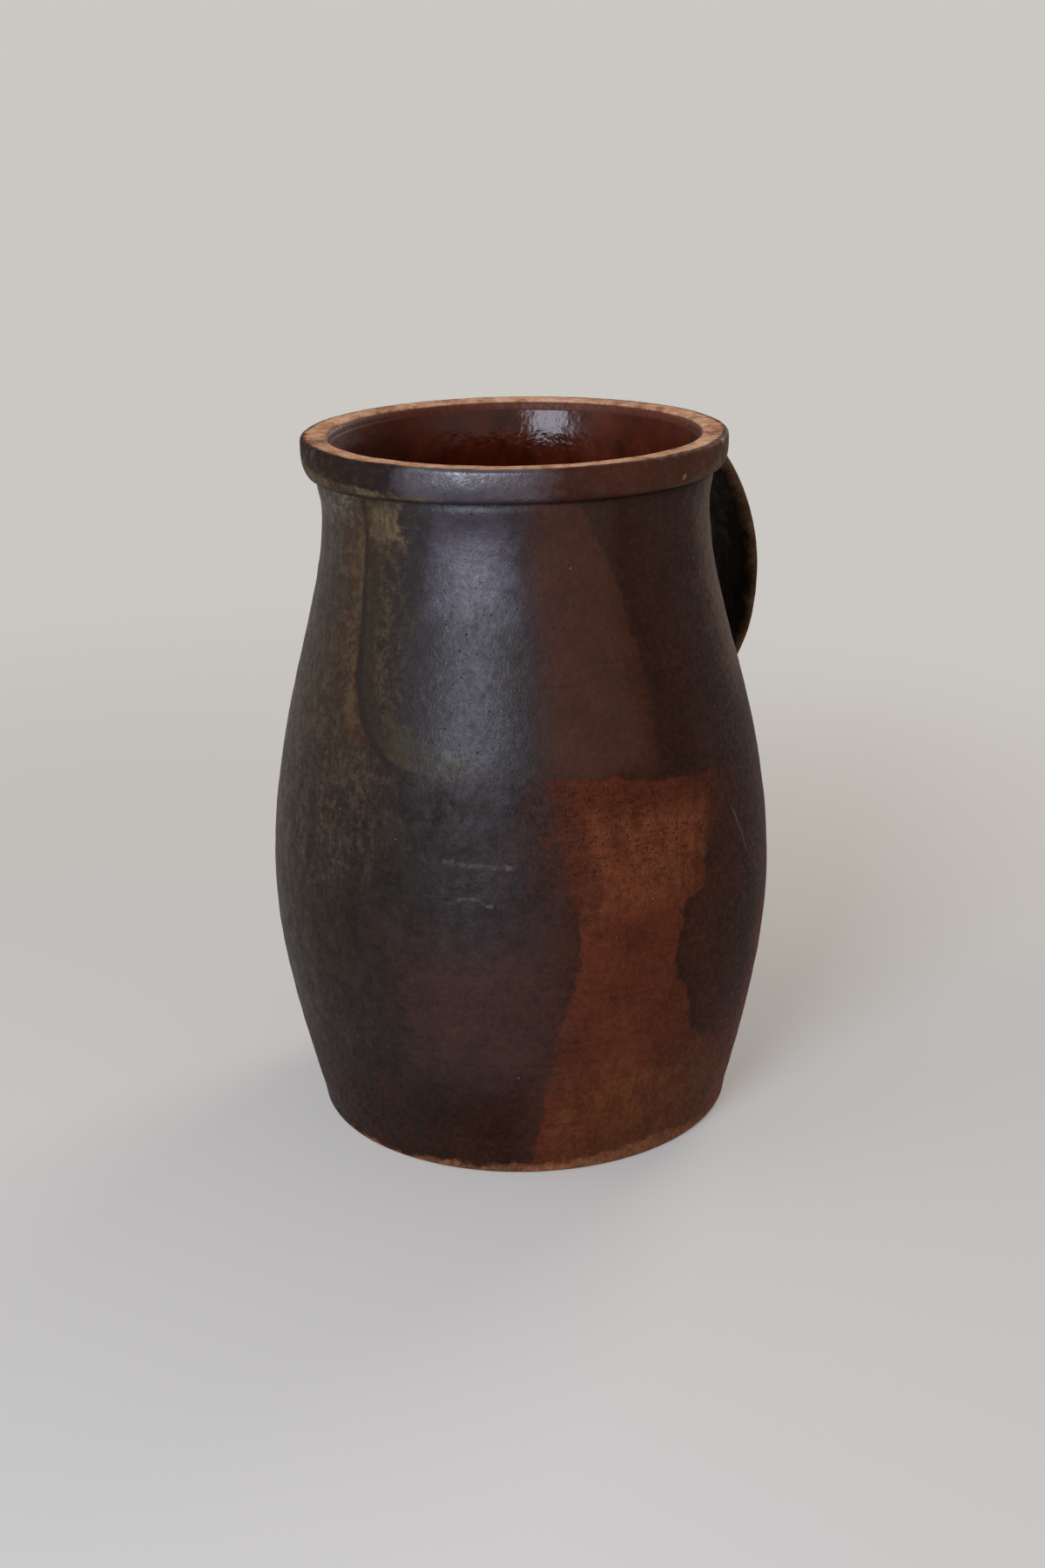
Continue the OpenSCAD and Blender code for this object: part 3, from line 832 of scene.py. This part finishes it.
# %% Flashes of the run
RUN_FLASHES = [
    ("run_rust", "#3c2113", 0.5, 0.5, 4.0, 5.0, -0.9, {
        "left": [(205, -42), (240, -56), (325, -56)], "right": [(205, -34), (225, -38), (240, -40), (325, -41)],
        "bottom": [(-180, 210), (180, 210)], "top": [(-180, 316), (180, 316)]}),
    ("run_ash", "#5f4c34", 0.5, 0.6, 3.0, 6.0, -0.97, {
        "left": [(215, -46), (240, -51), (325, -52)], "right": [(215, -40), (240, -46.5), (325, -47)],
        "bottom": [(-180, 218), (180, 218)]}),
    ("run_shade", "#1b160d", 0.8, 0.4, 2.5, 2.5, 0.3, {
        "left": [(215, -38), (240, -44.5), (325, -46)],
        "right": [(215, -34), (240, -40), (300, -42), (325, -43)],
        "bottom": [(-180, 214), (180, 214)], "top": [(-180, 300), (180, 300)]}),
    ("dark_run", "#160b07", 0.95, 0.4, 0.7, 0.7, 0.0, {
        "left": [(200, -30), (204, -33), (210, -36), (222, -42), (240, -45.8), (280, -47.4), (325, -47.2)],
        "right": [(200, -20), (203, -21), (204.5, -29), (210, -33.6), (222, -39.4), (240, -43.6), (280, -45.6),
                  (325, -45.8)],
        "bottom": [(-180, 202), (180, 202)]}),
    ("thick_ash", "#62513b", 0.85, 0.7, 3.0, 6.0, -0.7, {
        "left": [(295, -43), (325, -43.5)], "right": [(295, -32.5), (325, -33.5)],
        "top": [(-50, 318.5), (-20, 318)], "bottom": [(-50, 304), (-20, 301.5)]}),
    ("shoulder_dust", "#6f675a", 0.5, 0.6, 4.0, 7.0, 0.9, {
        "left": [(280, -86), (325, -86)], "right": [(280, -55), (325, -50)],
        "bottom": [(-100, 306), (-40, 310)]}),
]
print(len(RUN_FLASHES), "flashes of the run")

# %% [markdown]
# Last come a blush here and there, the scuffs of use, painted shade in the crease, and the foot, which was
# wiped clean of glaze so that it wouldn't stick to the kiln's shelf. The crease leans, and its painted shade
# leans with it.

# %% Flashes of use, crease and foot
def crease_line(height):
    """A line round the pot that rises 3 mm in front and sinks 3 mm behind, as the crease does."""
    return [(angle, height + 3 * math.cos(math.radians(angle))) for angle in range(-180, 181, 30)]


WEAR_FLASHES = [
    ("rose_blush", "#38211a", 0.8, 0.5, 24.0, 12.0, 0.0, {
        "left": [(40, -24), (130, -28)], "right": [(40, 8), (130, 6)],
        "top": [(-40, 120), (10, 124)], "bottom": [(-40, 64), (10, 56)]}),
    ("back_blush", "#46230f", 0.7, 0.56, 20.0, 14.0, -0.4, {
        "left": [(20, -165), (150, -160)], "right": [(20, -112), (150, -124)],
        "top": [(-180, 150), (-100, 138)], "bottom": [(-180, 30), (-100, 20)]}),
    ("scuff", "#6f6a6c", 0.34, 0.6, 0.6, 1.6, 0.9, {
        "left": [(0, -17), (340, -17)], "right": [(0, -1), (340, -1)],
        "top": [(-20, 166.6), (0, 164.6)], "bottom": [(-20, 163.8), (0, 162.8)]}),
    ("scuff_arc", "#6f6c70", 0.34, 0.6, 0.6, 1.0, 0.8, {
        "left": [(0, -16), (340, -16)], "right": [(0, -6), (340, -6)],
        "top": [(-16, 146.5), (-13, 149.8), (-10, 150.4), (-7, 147)],
        "bottom": [(-16, 145), (-13, 148), (-10, 148.6), (-7, 145.2)]}),
    ("scratch", "#6b5a50", 0.7, 0.6, 0.3, 0.25, 0.2, {
        "left": [(144, 61.9), (168, 56.9), (176, 55.2)], "right": [(144, 62.4), (168, 57.5), (176, 55.4)],
        "top": [(0, 174), (90, 174)], "bottom": [(0, 146), (90, 146)]}),
    # Painted shade: the wall just below the crease is darkened in colour.
    ("crease_painted_shade", "#110a07", 0.85, 0.6, 0.7, 0.8, 0.1, {"bottom": crease_line(319.8)}),
    ("foot_bare", "#8a5c40", 0.9, 0.85, 2.0, 4.0, 0.5, {
        "top": [(-180, 4), (-70, 1.5), (-40, 2), (-25, 3.5), (0, 5), (18, 7), (35, 10), (60, 6), (90, 3),
                (180, 4)]}),
]
print(len(WEAR_FLASHES), "flashes of use, crease and foot")
BODY_FLASHES = NECK_FLASHES + PATCH_FLASHES + ASH_FLASHES + GLOSS_FLASHES + RUN_FLASHES + WEAR_FLASHES
print(len(BODY_FLASHES), "flashes on the body in all")

# %% [markdown]
# ### Gloss
# Salt glaze is a glass, with the index of refraction of window glass, 1.5. Where it is thick it is smooth
# and mirrors the window. Where another pot shaded the wall, or ash lies on it, it is rough and mirrors
# hardly anything. A dark clay that mirrors a pale room turns grey, so the specular level falls as the
# roughness rises.

# %% Finish a material
def finish_material(material, shader, colour, gloss, bump, pieces, shine=(0.44, 0.05)):
    """Feeds the shader and gives the material to its pieces; what is rough also shines less."""
    shine = add("MapRange", {0: gloss, 1: 0.2, 2: 0.6, 3: shine[0], 4: shine[1]})
    tree.links.new(shine.outputs[0], shader.inputs["Specular IOR Level"])
    for socket, value in (("Base Color", colour), ("Roughness", gloss), ("Normal", bump)):
        tree.links.new(next(s for s in value.outputs if s.enabled), shader.inputs[socket])
    for piece in pieces:
        piece.data.materials.append(material)
    print(material.name, len(tree.nodes), "nodes on", ", ".join(piece.name for piece in pieces))


# %% [markdown]
# All the fired clay shares one recipe. The ground changes round the pot, and a slow noise shifts it by up
# to 18 degrees, so that its bands don't run straight down. The gloss varies by a few hundredths, and the
# flashes come on top.

# %% Lay the ground and the flashes
def paint_pot(name, ground, flashes, roughness):
    """A salt-fired surface over a ground that changes round the pot, with all that later steps paint on."""
    material, shader = start_material(name)
    place, turn, high, out = find_place()
    drift = add("TexNoise", {"Vector": place, "Scale": 0.03, "Detail": 5.0, "Roughness": 0.6})
    drift = add("MapRange", {0: drift, 3: -0.05, 4: 0.05})
    drift = add("Math", {0: turn, 1: drift}, operation="ADD")
    colour = add("ValToRGB", {0: drift}, stops=[((angle + 180) / 360, c) for angle, c in ground])
    gloss = add("TexNoise", {"Vector": place, "Scale": 0.15, "Detail": 5.0})
    gloss = add("MapRange", {0: gloss, 1: 0.3, 2: 0.7, 3: roughness - 0.06, 4: roughness + 0.06})
    colour, gloss, masks = paint_flashes(colour, gloss, place, turn, high, flashes)
    return material, shader, place, high, out, colour, gloss, masks


# %% [markdown]
# ### The body
# The body is stoneware, thrown and then salt-fired. To the eye it is brown clay under a thin glass: glossy
# where the salt lay thick, dull and redder where it didn't reach.

# %% Fire the body
material, shader, place, high, out, colour, gloss, masks = paint_pot(
    "salt_glazed_stoneware", BODY_GROUND, BODY_FLASHES, 0.47)
print(material.name, "has", len(masks), "flashes")

# %% [markdown]
# The potter's fingers left level grooves, in which the glaze is darker. They are a tenth of a millimetre
# deep and could be cut into the mesh, but a thin dark band at each height shows the same. Each one is worn
# away here and there, and a slow noise keeps it from being quite level.

# %% Draw the throwing lines
LINE_HEIGHTS = (243.4, 172.3, 97.5, 76.4, 64.2, 29.8)
tilt = add("TexNoise", {"Vector": place, "Scale": 0.02, "Detail": 1.0})
line_height = add("Math", {0: high, 1: TALL}, operation="MULTIPLY")
line_height = add("Math", {0: tilt, 1: 1.5, 2: line_height}, operation="MULTIPLY_ADD")
grooves = None
for z in LINE_HEIGHTS:
    groove = add("Math", {0: line_height, 1: z}, operation="SUBTRACT")
    groove = add("MapRange", {0: add("Math", {0: groove}, operation="ABSOLUTE"), 1: 0.8, 2: 0.2})
    grooves = groove if grooves is None else add("Math", {0: grooves, 1: groove}, operation="MAXIMUM")
worn = add("TexNoise", {"Vector": place, "Scale": 0.06, "Detail": 3.0})
worn = add("MapRange", {0: worn, 1: 0.42, 2: 0.62, 4: 0.35})
grooves = add("Math", {0: grooves, 1: worn}, operation="MULTIPLY")
colour = add("Mix", {0: grooves, 1: colour, 2: "#130b08"}, data_type="RGBA")
print("throwing lines at", LINE_HEIGHTS, "mm")

# %% [markdown]
# In the upper part of the rust patch, iron stands out of the clay as dark dust, in level rows. The real
# grains are finer than the render can show, so they are drawn about a millimetre across. The skin is
# smoother under the thick glaze of the neck than on the belly.

# %% Bring out the iron and finish the body
rows = add("VectorMath", {0: place, 1: (0.1, 0.1, 0.45)}, operation="MULTIPLY")
rows = add("TexNoise", {"Vector": rows, "Scale": 1.0, "Detail": 4.0, "Roughness": 0.7})
rows = add("MapRange", {0: rows, 1: 0.42, 2: 0.62, 3: 0.15, 4: 1.0})
speckled = add("MapRange", {0: high, 1: 130 / TALL, 2: 165 / TALL, 3: 0.15, 4: 0.85})
iron = add("Math", {0: speckled, 1: rows}, operation="MULTIPLY")
iron = add("Math", {0: iron, 1: masks["rust_patch"]}, operation="MULTIPLY")
iron = add("Math", {0: iron, 1: 0.22, 2: 0.05}, operation="MULTIPLY_ADD")
skin = add("MapRange", {0: high, 1: 196 / TALL, 2: 206 / TALL, 3: 0.85, 4: 0.42})
skin = add("Math", {0: masks["matte_right"], 1: -0.12, 2: skin}, operation="MULTIPLY_ADD")
cloudy = add("MapRange", {0: high, 1: 190 / TALL, 2: 215 / TALL, 3: 0.8, 4: 0.5})
colour, gloss, bump = grain(colour, gloss, place, iron, skin, cloudy)
finish_material(material, shader, colour, gloss, bump, [body])

# %% [markdown]
# ### The collar and its bare rim
# The collar has the same salt glaze as the body, thick and dark in front, where it mirrors the window, and
# browner to the right. Over the dark glaze in front, a lighter bluish grey is a painted highlight. A little ash
# lies under the roll on the left, and the crease below it has painted shade.

# %% Ground and flashes of the collar
COLLAR_GROUND = [(-180, "#2b1c12"), (-130, "#2f2013"), (-75, "#281b11"), (-40, "#221815"), (-10, "#271d1f"),
                 (4, "#3a2016"), (20, "#3f2219"), (60, "#523024"), (100, "#3c261a"), (150, "#2d1c11"),
                 (180, "#2b1c12")]
COLLAR_FLASHES = [
    # Painted highlight: a lighter bluish grey on the collar's front; its low roughness is real gloss.
    ("collar_glaze_and_painted_highlight", "#39323c", 0.75, 0.15, 12.0, 4.0, 0.2, {
        "left": [(318, -30), (340, -30)], "right": [(318, 8), (340, 8)]}),
    ("rim_soot", "#2a1a12", 0.7, 0.7, 1.5, 5.0, -0.98, {
        "left": [(330, -84), (340, -84)], "right": [(330, -70), (340, -70)],
        "bottom": [(-180, 337), (180, 337)]}),
    ("ash_under", "#5f5039", 0.8, 0.7, 1.0, 4.0, -0.85, {
        "left": [(318, -84), (340, -84)], "right": [(318, -16), (340, -22)],
        "top": [(-90, 332), (-70, 329.5), (-50, 327.5), (-36, 327), (-18, 326)]}),
    # Painted shade: the underside of the roll by the crease is darkened in colour.
    ("crease_shade", "#180e0a", 0.75, 0.6, 0.9, 1.0, 0.1, {"top": crease_line(321.6)}),
    ("ash_spot", "#8a6b3a", 0.9, 0.7, 0.4, 0.3, 0.0, {
        "left": [(320, 48.2), (340, 48.2)], "right": [(320, 49.6), (340, 49.6)],
        "top": [(0, 330), (90, 330)], "bottom": [(0, 327.4), (90, 327.4)]}),
]
print(len(COLLAR_FLASHES), "flashes on the collar")

# %% Fire the collar
material, shader, place, high, out, colour, gloss, masks = paint_pot(
    "salt_glazed_collar", COLLAR_GROUND, COLLAR_FLASHES, 0.61)
print(material.name, "has", len(masks), "flashes")

# %% [markdown]
# The pots stood rim to rim in the kiln, so the top of the rim stayed bare. It could be a material of its own
# on the top faces, but its edge would then follow the mesh. A mask from the height and the distance from the
# axis, made uneven by a noise, gives an edge like the real one. On the mouth's side, slip from the lining
# runs up to just below the top.

# %% Mark out the bare rim and the slip in the mouth
BARE_FROM, SLIP_TO = 335.0, 338.5
uneven = add("TexNoise", {"Vector": place, "Scale": 0.22, "Detail": 6.0, "Roughness": 0.7})
worn = add("MapRange", {0: uneven, 1: 0.3, 2: 0.7, 3: -1.0, 4: 1.0})
worn = add("Math", {0: worn, 1: out}, operation="ADD")
level = add("Math", {0: uneven, 1: -0.006, 2: high}, operation="MULTIPLY_ADD")
bare = add("MapRange", {0: level, 1: (BARE_FROM - 0.4) / TALL, 2: (BARE_FROM + 0.4) / TALL})
within = add("MapRange", {0: worn, 1: 99.9, 2: 99.0})
bare = add("Math", {0: bare, 1: within}, operation="MULTIPLY")
slip = add("MapRange", {0: high, 1: (SLIP_TO + 0.4) / TALL, 2: (SLIP_TO - 0.4) / TALL})
within = add("MapRange", {0: out, 1: 95.0, 2: 94.0})
slip = add("Math", {0: slip, 1: within}, operation="MULTIPLY")
no_slip = add("Math", {0: 1.0, 1: slip}, operation="SUBTRACT")
bare = add("Math", {0: bare, 1: no_slip}, operation="MULTIPLY")
print("the rim is bare from", BARE_FROM, "mm up, and slip in the mouth ends at", SLIP_TO, "mm")

# %% [markdown]
# Bare stoneware fires to a sandy tan and is quite matt, with a dry, grainy look. Its outer edge burned
# darker, and some soot lies on it at the far left.

# %% Sand the rim and finish the collar
colour = add("Mix", {0: slip, 1: colour, 2: "#5a2a18"}, data_type="RGBA")
gloss = add("Mix", {0: slip, 1: gloss, 2: 0.5}, data_type="FLOAT")
burn = add("MapRange", {0: worn, 1: 97.4, 2: 99.9}, interpolation_type="SMOOTHSTEP")
sand = add("TexNoise", {"Vector": place, "Scale": 0.09, "Detail": 7.0, "Roughness": 0.75})
sand = add("ValToRGB", {0: sand}, stops=[(0.38, "#9c6c52"), (0.5, "#cf9e7d"), (0.62, "#dfb799")])
sand = add("Mix", {0: burn, 1: sand, 2: "#63382a"}, data_type="RGBA")
colour = add("Mix", {0: bare, 1: colour, 2: sand}, data_type="RGBA")
gloss = add("Mix", {0: bare, 1: gloss, 2: 0.85}, data_type="FLOAT")
soot = add("Math", {0: masks["rim_soot"], 1: bare}, operation="MULTIPLY")
colour = add("Mix", {0: soot, 1: colour, 2: "#2a1a12"}, data_type="RGBA")
colour, gloss, bump = grain(colour, gloss, place, skin=0.45, cloudy=0.5)
finish_material(material, shader, colour, gloss, bump, [collar], shine=(1.0, 0.05))

# %% [markdown]
# ### The strap and its luting
# The strap is pulled stoneware with a thin salt glaze, and it is dull. Its inner face, which looks at the pot,
# is painted nearly black: painted shade. Its outer face is painted a lighter brown as its lit side, and its
# edges lighter still, as painted light where they catch the window. The handle points along X, so the distance
# from the strap's middle line is simply the size of Y, and the X of the surface's own direction tells its outer
# face from its inner one.

# %% Fire the strap
# Painted shade: the nearly black ground stays on the inner face.
STRAP_PAINTED_SHADE = [(-180, "#150d09"), (180, "#150d09")]
STRAP_FLASHES = [("strap_ash", "#33261a", 0.35, 0.6, 6.0, 8.0, -0.9, {"bottom": [(-180, 200), (180, 200)]})]
material, shader, place, _, _, colour, gloss, _ = paint_pot(
    "salt_glazed_strap", STRAP_PAINTED_SHADE, STRAP_FLASHES, 0.6)
across = add("SeparateXYZ", {0: add("TexCoord").outputs["Object"]})
across = add("Math", {0: across.outputs["Y"], 1: 1000.0}, operation="MULTIPLY")
across = add("Math", {0: across}, operation="ABSOLUTE")
# Painted light: the edges, 12 to 19.5 mm from the middle line, are painted a lighter brown.
edge_noise = add("TexNoise", {"Vector": place, "Scale": 0.12, "Detail": 5.0, "Roughness": 0.7})
edge_noise = add("MapRange", {0: edge_noise, 1: 0.3, 2: 0.7, 3: -3.0, 4: 3.0})
edge = add("Math", {0: across, 1: edge_noise}, operation="ADD")
edge = add("MapRange", {0: edge, 1: 12.0, 2: 19.5}, interpolation_type="SMOOTHSTEP")
# The outer face is painted lighter than the inner one, as the lit side.
facing = add("SeparateXYZ", {0: add("TexCoord").outputs["Normal"]})
lit_outer_face = add("MapRange", {0: facing, 1: -0.2, 2: 0.35})
colour = add("Mix", {0: lit_outer_face, 1: colour, 2: "#2c1b12"}, data_type="RGBA")
colour = add("Mix", {0: edge, 1: colour, 2: "#6a4f3b"}, data_type="RGBA")
colour, gloss, bump = grain(colour, gloss, place)
finish_material(material, shader, colour, gloss, bump, [strap])

# %% [markdown]
# The luting clay was wiped with a wet finger before the firing. It is smoother than the strap, shines softly
# and has the brown of the pot's back.

# %% Fire the luting clay
LUTING_GROUND = [(-180, "#2e1b11"), (180, "#2e1b11")]
material, shader, place, _, _, colour, gloss, _ = paint_pot("salt_glazed_luting", LUTING_GROUND, [], 0.42)
colour, gloss, bump = grain(colour, gloss, place, skin=0.6)
finish_material(material, shader, colour, gloss, bump, [top_clay, tail_clay])

# %% [markdown]
# ### The slip glaze inside
# A slip of red clay melted to a dark red-brown glass. It is smoother than salt glaze and a little denser,
# so its index is 1.54. Where it ran, it stands in slow waves about six millimetres wide, with finer ones
# between them, and these break up the mirror image of the window. It ran thickest and shines most where
# it was poured out, opposite the front, and the rest of the wall is duller.

# %% Melt the lining
GLOSSY_TO, DULL_FROM = 0.46, 0.37  # in turns from the front: 14 and 47 degrees from the far side
material, shader = start_material("iron_slip_glaze", 1.54)
place, turn, _, _ = find_place()
runs = add("TexNoise", {"Vector": place, "Scale": 0.06, "Detail": 6.0, "Roughness": 0.6})
colour = add("ValToRGB", {0: runs}, stops=[(0.3, "#290e06"), (0.5, "#471909"), (0.72, "#58240f")])
gloss = add("MapRange", {0: runs, 1: 0.3, 2: 0.7, 3: 0.09, 4: 0.2})
aside = add("Math", {0: add("Math", {0: turn, 1: 0.5}, operation="SUBTRACT")}, operation="ABSOLUTE")
aside = add("MapRange", {0: aside, 1: GLOSSY_TO, 2: DULL_FROM, 4: 0.34}, interpolation_type="SMOOTHSTEP")
gloss = add("Math", {0: gloss, 1: aside}, operation="ADD")
ripples = add("TexNoise", {"Vector": place, "Scale": 0.16, "Detail": 2.0})
fine = add("TexNoise", {"Vector": place, "Scale": 0.42, "Detail": 3.0})
ripples = add("Math", {0: fine, 1: 0.4, 2: ripples}, operation="MULTIPLY_ADD")
bump = add("Bump", {"Height": ripples, "Strength": 0.8, "Distance": 0.0004})
finish_material(material, shader, colour, gloss, bump, [lining], shine=(0.3, 0.06))

# %% [markdown]
# ## Riding on the frame
# Each piece stands for one solid of the frame, given beside it in the list, and that solid is hidden.

# %% Put the pieces on the frame
for piece, node in (
        (body, "thrown_body"), (collar, "rim_collar"), (lining, "liner_glaze"),
        (strap, "strap_handle"), (top_clay, "handle_top_luting"), (tail_clay, "handle_tail_luting")):
    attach(piece, "root")
    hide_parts(node)
